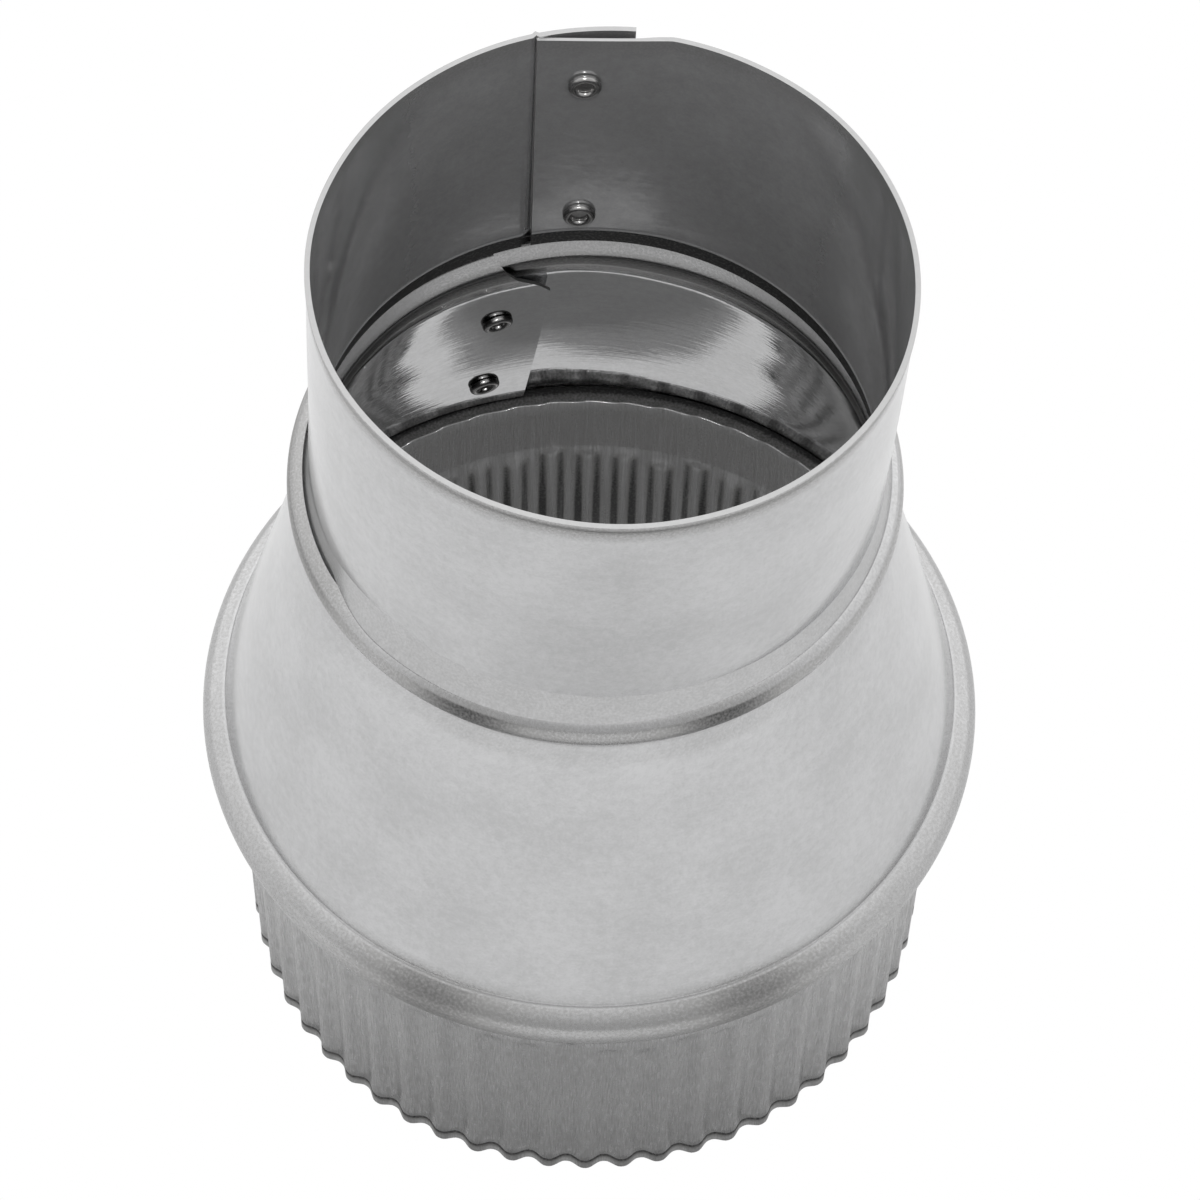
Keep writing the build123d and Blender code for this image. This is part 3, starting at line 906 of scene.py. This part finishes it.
# Rivets
def rivet_profile(grip):
    """Half section of a rivet from the middle of its tail to the top of its head, as radius and height."""
    tail = -rivet_seat
    tail_end = tail - rivet_tail_height
    crown = (rivet_dimple_radius + rivet_tail_radius) / 2
    dimple = tail_end + rivet_dimple_depth
    dimple_edge = (rivet_dimple_radius * rivet_dimple_flat, dimple)
    head = grip + rivet_seat
    cap = (rivet_head_radius ** 2 + rivet_head_height ** 2) / (2 * rivet_head_height)
    cap_angle = degrees(acos((cap - rivet_head_height) / cap))
    ring = (rivet_tail_radius - rivet_dimple_radius) / 2
    runs = [
        line_points((0, dimple), dimple_edge, 3),
        bend_points(dimple_edge, (rivet_dimple_radius, dimple), (rivet_dimple_radius, tail_end + ring), 5),
        arc_points((crown, tail_end + ring), ring, 180, 360, 14),
        line_points((rivet_tail_radius, tail_end + ring), (rivet_tail_radius, tail), 2),
        line_points((rivet_tail_radius, tail), (rivet_shank, tail), 2),
        line_points((rivet_shank, tail), (rivet_shank, head), 3),
        line_points((rivet_shank, head), (rivet_head_radius, head), 2),
        arc_points((0, head + rivet_head_height - cap), cap, 90 - cap_angle, 90, 12),
    ]
    return joined(*runs)


def rivet_piece(name, seat, outwards, grip, material):
    """A turned rivet whose axis runs outwards through its seat on the bore face."""
    profile = rivet_profile(grip)
    turns = np.arange(rivet_turns)
    spin = Vector(outwards).to_track_quat("Z", "Y").to_matrix()
    mesh = bmesh.new()
    ring_verts = []
    for radius, height in profile:
        if radius < 1e-6:
            ring_verts.append([mesh.verts.new(Vector(seat) * MM + spin @ Vector((0, 0, height)) * MM)])
            continue
        points = on_round(radius, turns * FULL_TURN / rivet_turns, height)
        ring_verts.append([mesh.verts.new(Vector(seat) * MM + spin @ Vector(point) * MM) for point in points])
    for low, high in zip(ring_verts, ring_verts[1:]):
        for step in range(rivet_turns):
            corners = [low[step % len(low)], low[(step + 1) % len(low)]]
            corners += [high[(step + 1) % len(high)], high[step % len(high)]]
            face = mesh.faces.new(list(dict.fromkeys(corners)))
            face.smooth = True
    return finished_piece(mesh, name, [material])


class REDUCER_OT_rivets(bpy.types.Operator):
    """Makes the rivets of the three lapped seams"""

    bl_idname = "reducer.rivets"
    bl_label = "Rivets"

    def execute(self, context):
        sizes = context.scene.reducer_sizes
        material = bare_steel("rivet_steel", context.scene.reducer_finish.rivet, roughness=0.14)
        sheet, spring = sizes.sheet / MM, sizes.spring / MM
        for index, height in enumerate(collar_rivet_heights, 1):
            seat, outwards, grip = self.collar_seat(height, sheet, spring)
            piece = rivet_piece(f"small_collar_rivet_{index}", seat, outwards, grip, material)
            place_piece(piece, "rivet_steel", "small_collar_rivets")
        for index, height in enumerate(taper_rivet_heights, 1):
            seat, outwards = self.taper_seat(height)
            grip = 2 * sheet + lap_gap + float(lap_lean(taper_rivet_azimuth))
            piece = rivet_piece(f"tapered_body_rivet_{index}", seat, outwards, grip, material)
            place_piece(piece, "rivet_steel", "tapered_body_rivets")
        turn = crimped_seam + crimped_lap_count * FULL_TURN / sizes.crimp_count / 2
        seat = on_round(crimped_plain - sheet, turn, crimped_rivet_height)
        outwards = on_round(1.0, turn, 0.0)
        piece = rivet_piece("crimped_collar_rivet_1", seat, outwards, 2 * sheet + lap_gap, material)
        place_piece(piece, "rivet_steel", "crimped_collar_rivet")
        return {"FINISHED"}

    def collar_seat(self, height, sheet, spring):
        """Seat on the small collar's inner lap, the way out through both laps, and their grip."""
        share = (height - foot_height) / (collar_length - foot_height)
        turn = np.array(collar_rivet_azimuth)
        bore = collar_radius(collar_bore, turn, share, sheet, spring)
        lap = collar_radius(collar_bore + sheet, turn - FULL_TURN, share, sheet, spring)
        flat_way = (collar_seam + flat_end) / 2
        facing = (flat_way + collar_rivet_azimuth) / 2
        twist = seam_twist * (1 - share)
        seat = on_round(bore, turn + twist, height)
        tip = seat + on_round(1.0, facing + twist, 0.0)
        grip = (lap - bore) / cos(radians(collar_rivet_azimuth - facing))
        return leaned(seat), leaned(tip) - leaned(seat), float(grip)

    def taper_seat(self, height):
        """Seat on the tapered wall and the way out through it."""
        foot = (lower_bead_centre, lower_bead_height + lower_bead_bore)
        drop, run = throat[1] - foot[1], foot[0] - throat[0]
        radius = foot[0] - (height - foot[1]) * run / drop - float(lap_lean(taper_rivet_azimuth))
        slant = hypot(run, drop)
        seat = on_round(radius, taper_rivet_azimuth, height)
        return seat, on_round(drop / slant, taper_rivet_azimuth, run / slant)


# Stage
class REDUCER_OT_stage(bpy.types.Operator):
    """Makes the floor, the two lights and the camera"""

    bl_idname = "reducer.stage"
    bl_label = "Stage"

    def execute(self, context):
        stage = context.scene.reducer_stage
        self.floor(stage)
        self.sky(stage)
        self.key(stage)
        self.camera(context)
        context.scene.view_settings.view_transform = "Standard"
        return {"FINISHED"}

    def floor(self, stage):
        """White to the eye. In reflections, paper with painted shade in front, and painted shade and painted
        glow inside.
        """
        size = floor_half * MM
        data = bpy.data.meshes.new("floor")
        corners = [(-size, -size, 0), (size, -size, 0), (size, size, 0), (-size, size, 0)]
        data.from_pydata(corners, [], [(0, 1, 2, 3)])
        material, graph = new_material("floor_white")
        place = graph.add("ShaderNodeTexCoord", {}, output=3)
        back = graph.add("ShaderNodeSeparateXYZ", {}, {"Vector": place}, output=1)
        inner_reach = (crimped_rim_crest - inner_edge, crimped_rim_crest)
        inside = 1 - self.beyond(graph, place, (0.0, 0.0), inner_reach)
        patch_reach = (collar_bore - light_patch_edge, collar_bore + light_patch_edge)
        in_patch = 1 - self.beyond(graph, place, light_patch, patch_reach)
        shaded = 1 - self.beyond(graph, place, front_shade, front_shade_reach)
        in_front = 1 - graph.spread(back, inner_front[0] * MM, inner_front[1] * MM)
        paper = graph.add("ShaderNodeBsdfDiffuse", {}, {"Color": stage.floor})
        shade = graph.add("ShaderNodeBsdfDiffuse", {}, {"Color": stage.floor_shade})
        paper = graph.add("ShaderNodeMixShader", {}, {0: shaded, 1: paper, 2: shade})
        # Painted shade: the floor inside the reducer is darker, and painted glow is added to it below
        inner = graph.add("ShaderNodeBsdfDiffuse", {}, {"Color": stage.inner_floor_shade})
        fill = graph.add("ShaderNodeEmission", {}, {"Color": (1.0, 1.0, 1.0), "Strength": stage.inner_fill})
        inner = graph.add("ShaderNodeAddShader", {}, {0: fill, 1: inner})
        for share, glow in ((in_front, stage.inner_fill), (in_patch, stage.patch_fill)):
            fill = graph.add("ShaderNodeEmission", {}, {"Color": (1.0, 1.0, 1.0), "Strength": glow})
            filled = graph.add("ShaderNodeAddShader", {}, {0: fill, 1: inner})
            inner = graph.add("ShaderNodeMixShader", {}, {0: share, 1: inner, 2: filled})
        paper = graph.add("ShaderNodeMixShader", {}, {0: inside, 1: paper, 2: inner})
        white = graph.add("ShaderNodeEmission", {}, {"Color": (1.0, 1.0, 1.0)})
        seen = graph.add("ShaderNodeLightPath", {}, output=0)
        floor_shader = graph.add("ShaderNodeMixShader", {}, {0: seen, 1: paper, 2: white})
        graph.add("ShaderNodeOutputMaterial", {}, {"Surface": floor_shader})
        data.materials.append(material)
        floor = bpy.data.objects.new("floor", data)
        bpy.context.scene.collection.objects.link(floor)

    def beyond(self, graph, place, centre, reach):
        """1 outside a round on the floor with a soft edge, and 0 inside it."""
        sockets = {0: place, 1: (centre[0] * MM, centre[1] * MM, 0.0)}
        away = graph.add("ShaderNodeVectorMath", {"operation": "DISTANCE"}, sockets, output=1)
        return graph.spread(away, reach[0] * MM, reach[1] * MM)

    def sky(self, stage):
        """Soft light all round, brighter from behind."""
        world = bpy.data.worlds.new("studio")
        world.use_nodes = True
        graph = Graph(world.node_tree)
        way = graph.add("ShaderNodeTexCoord", {}, output=0)
        back = graph.add("ShaderNodeSeparateXYZ", {}, {"Vector": way}, output=1)
        strength = back * stage.sky_slope + stage.sky
        light = graph.add("ShaderNodeBackground", {}, {"Color": (1.0, 1.0, 1.0), "Strength": strength})
        graph.add("ShaderNodeOutputWorld", {}, {"Surface": light})
        bpy.context.scene.world = world

    def key(self, stage):
        """A narrow light from above the camera, aimed at the middle of the small rim."""
        distance = key_distance * MM
        climb = radians(key_climb)
        data = bpy.data.lights.new("key", "SPOT")
        data.energy = stage.key_power
        data.spot_size = radians(key_cone)
        data.spot_blend = key_blend
        data.shadow_soft_size = key_source * MM
        key = bpy.data.objects.new("key", data)
        rim_height = (top_bead_height + collar_length) * MM
        key.location = (0.0, -distance * cos(climb), rim_height + distance * sin(climb))
        key.rotation_euler = (radians(90) - climb, 0.0, 0.0)
        bpy.context.scene.collection.objects.link(key)

    def camera(self, context):
        data = bpy.data.cameras.new("camera")
        data.sensor_width = camera_sensor
        data.lens = camera_lens
        data.shift_x = camera_shift
        camera = bpy.data.objects.new("camera", data)
        tilt = Matrix.Rotation(radians(90 - camera_pitch), 4, "X")
        roll = Matrix.Rotation(radians(camera_roll), 4, "Z")
        camera.matrix_world = Matrix.Translation(Vector(camera_place) * MM) @ tilt @ roll
        context.scene.collection.objects.link(camera)
        context.scene.camera = camera


class REDUCER_PT_panel(bpy.types.Panel):
    """Lists the pieces of the reducer with their sizes and finish"""

    bl_label = "Duct reducer"
    bl_space_type = "VIEW_3D"
    bl_region_type = "UI"
    bl_category = "Reducer"

    def draw(self, context):
        for group in (context.scene.reducer_sizes, context.scene.reducer_finish, context.scene.reducer_stage):
            box = self.layout.box()
            for name in group.__annotations__:
                box.prop(group, name)
        for operator in operators:
            self.layout.operator(operator.bl_idname)


groups = {"reducer_sizes": ReducerSizes, "reducer_finish": ReducerFinish, "reducer_stage": ReducerStage}
operators = (
    REDUCER_OT_small_collar,
    REDUCER_OT_tapered_body,
    REDUCER_OT_crimped_collar,
    REDUCER_OT_rivets,
    REDUCER_OT_stage,
)


def register():
    for name, group in groups.items():
        bpy.utils.register_class(group)
        setattr(bpy.types.Scene, name, PointerProperty(type=group))
    for operator in operators:
        bpy.utils.register_class(operator)
    bpy.utils.register_class(REDUCER_PT_panel)


def unregister():
    bpy.utils.unregister_class(REDUCER_PT_panel)
    for operator in reversed(operators):
        bpy.utils.unregister_class(operator)
    for name, group in reversed(groups.items()):
        delattr(bpy.types.Scene, name)
        bpy.utils.unregister_class(group)


def main():
    register()
    bpy.ops.reducer.small_collar()
    bpy.ops.reducer.tapered_body()
    bpy.ops.reducer.crimped_collar()
    bpy.ops.reducer.rivets()
    bpy.ops.reducer.stage()


if __name__ == "__main__":
    main()
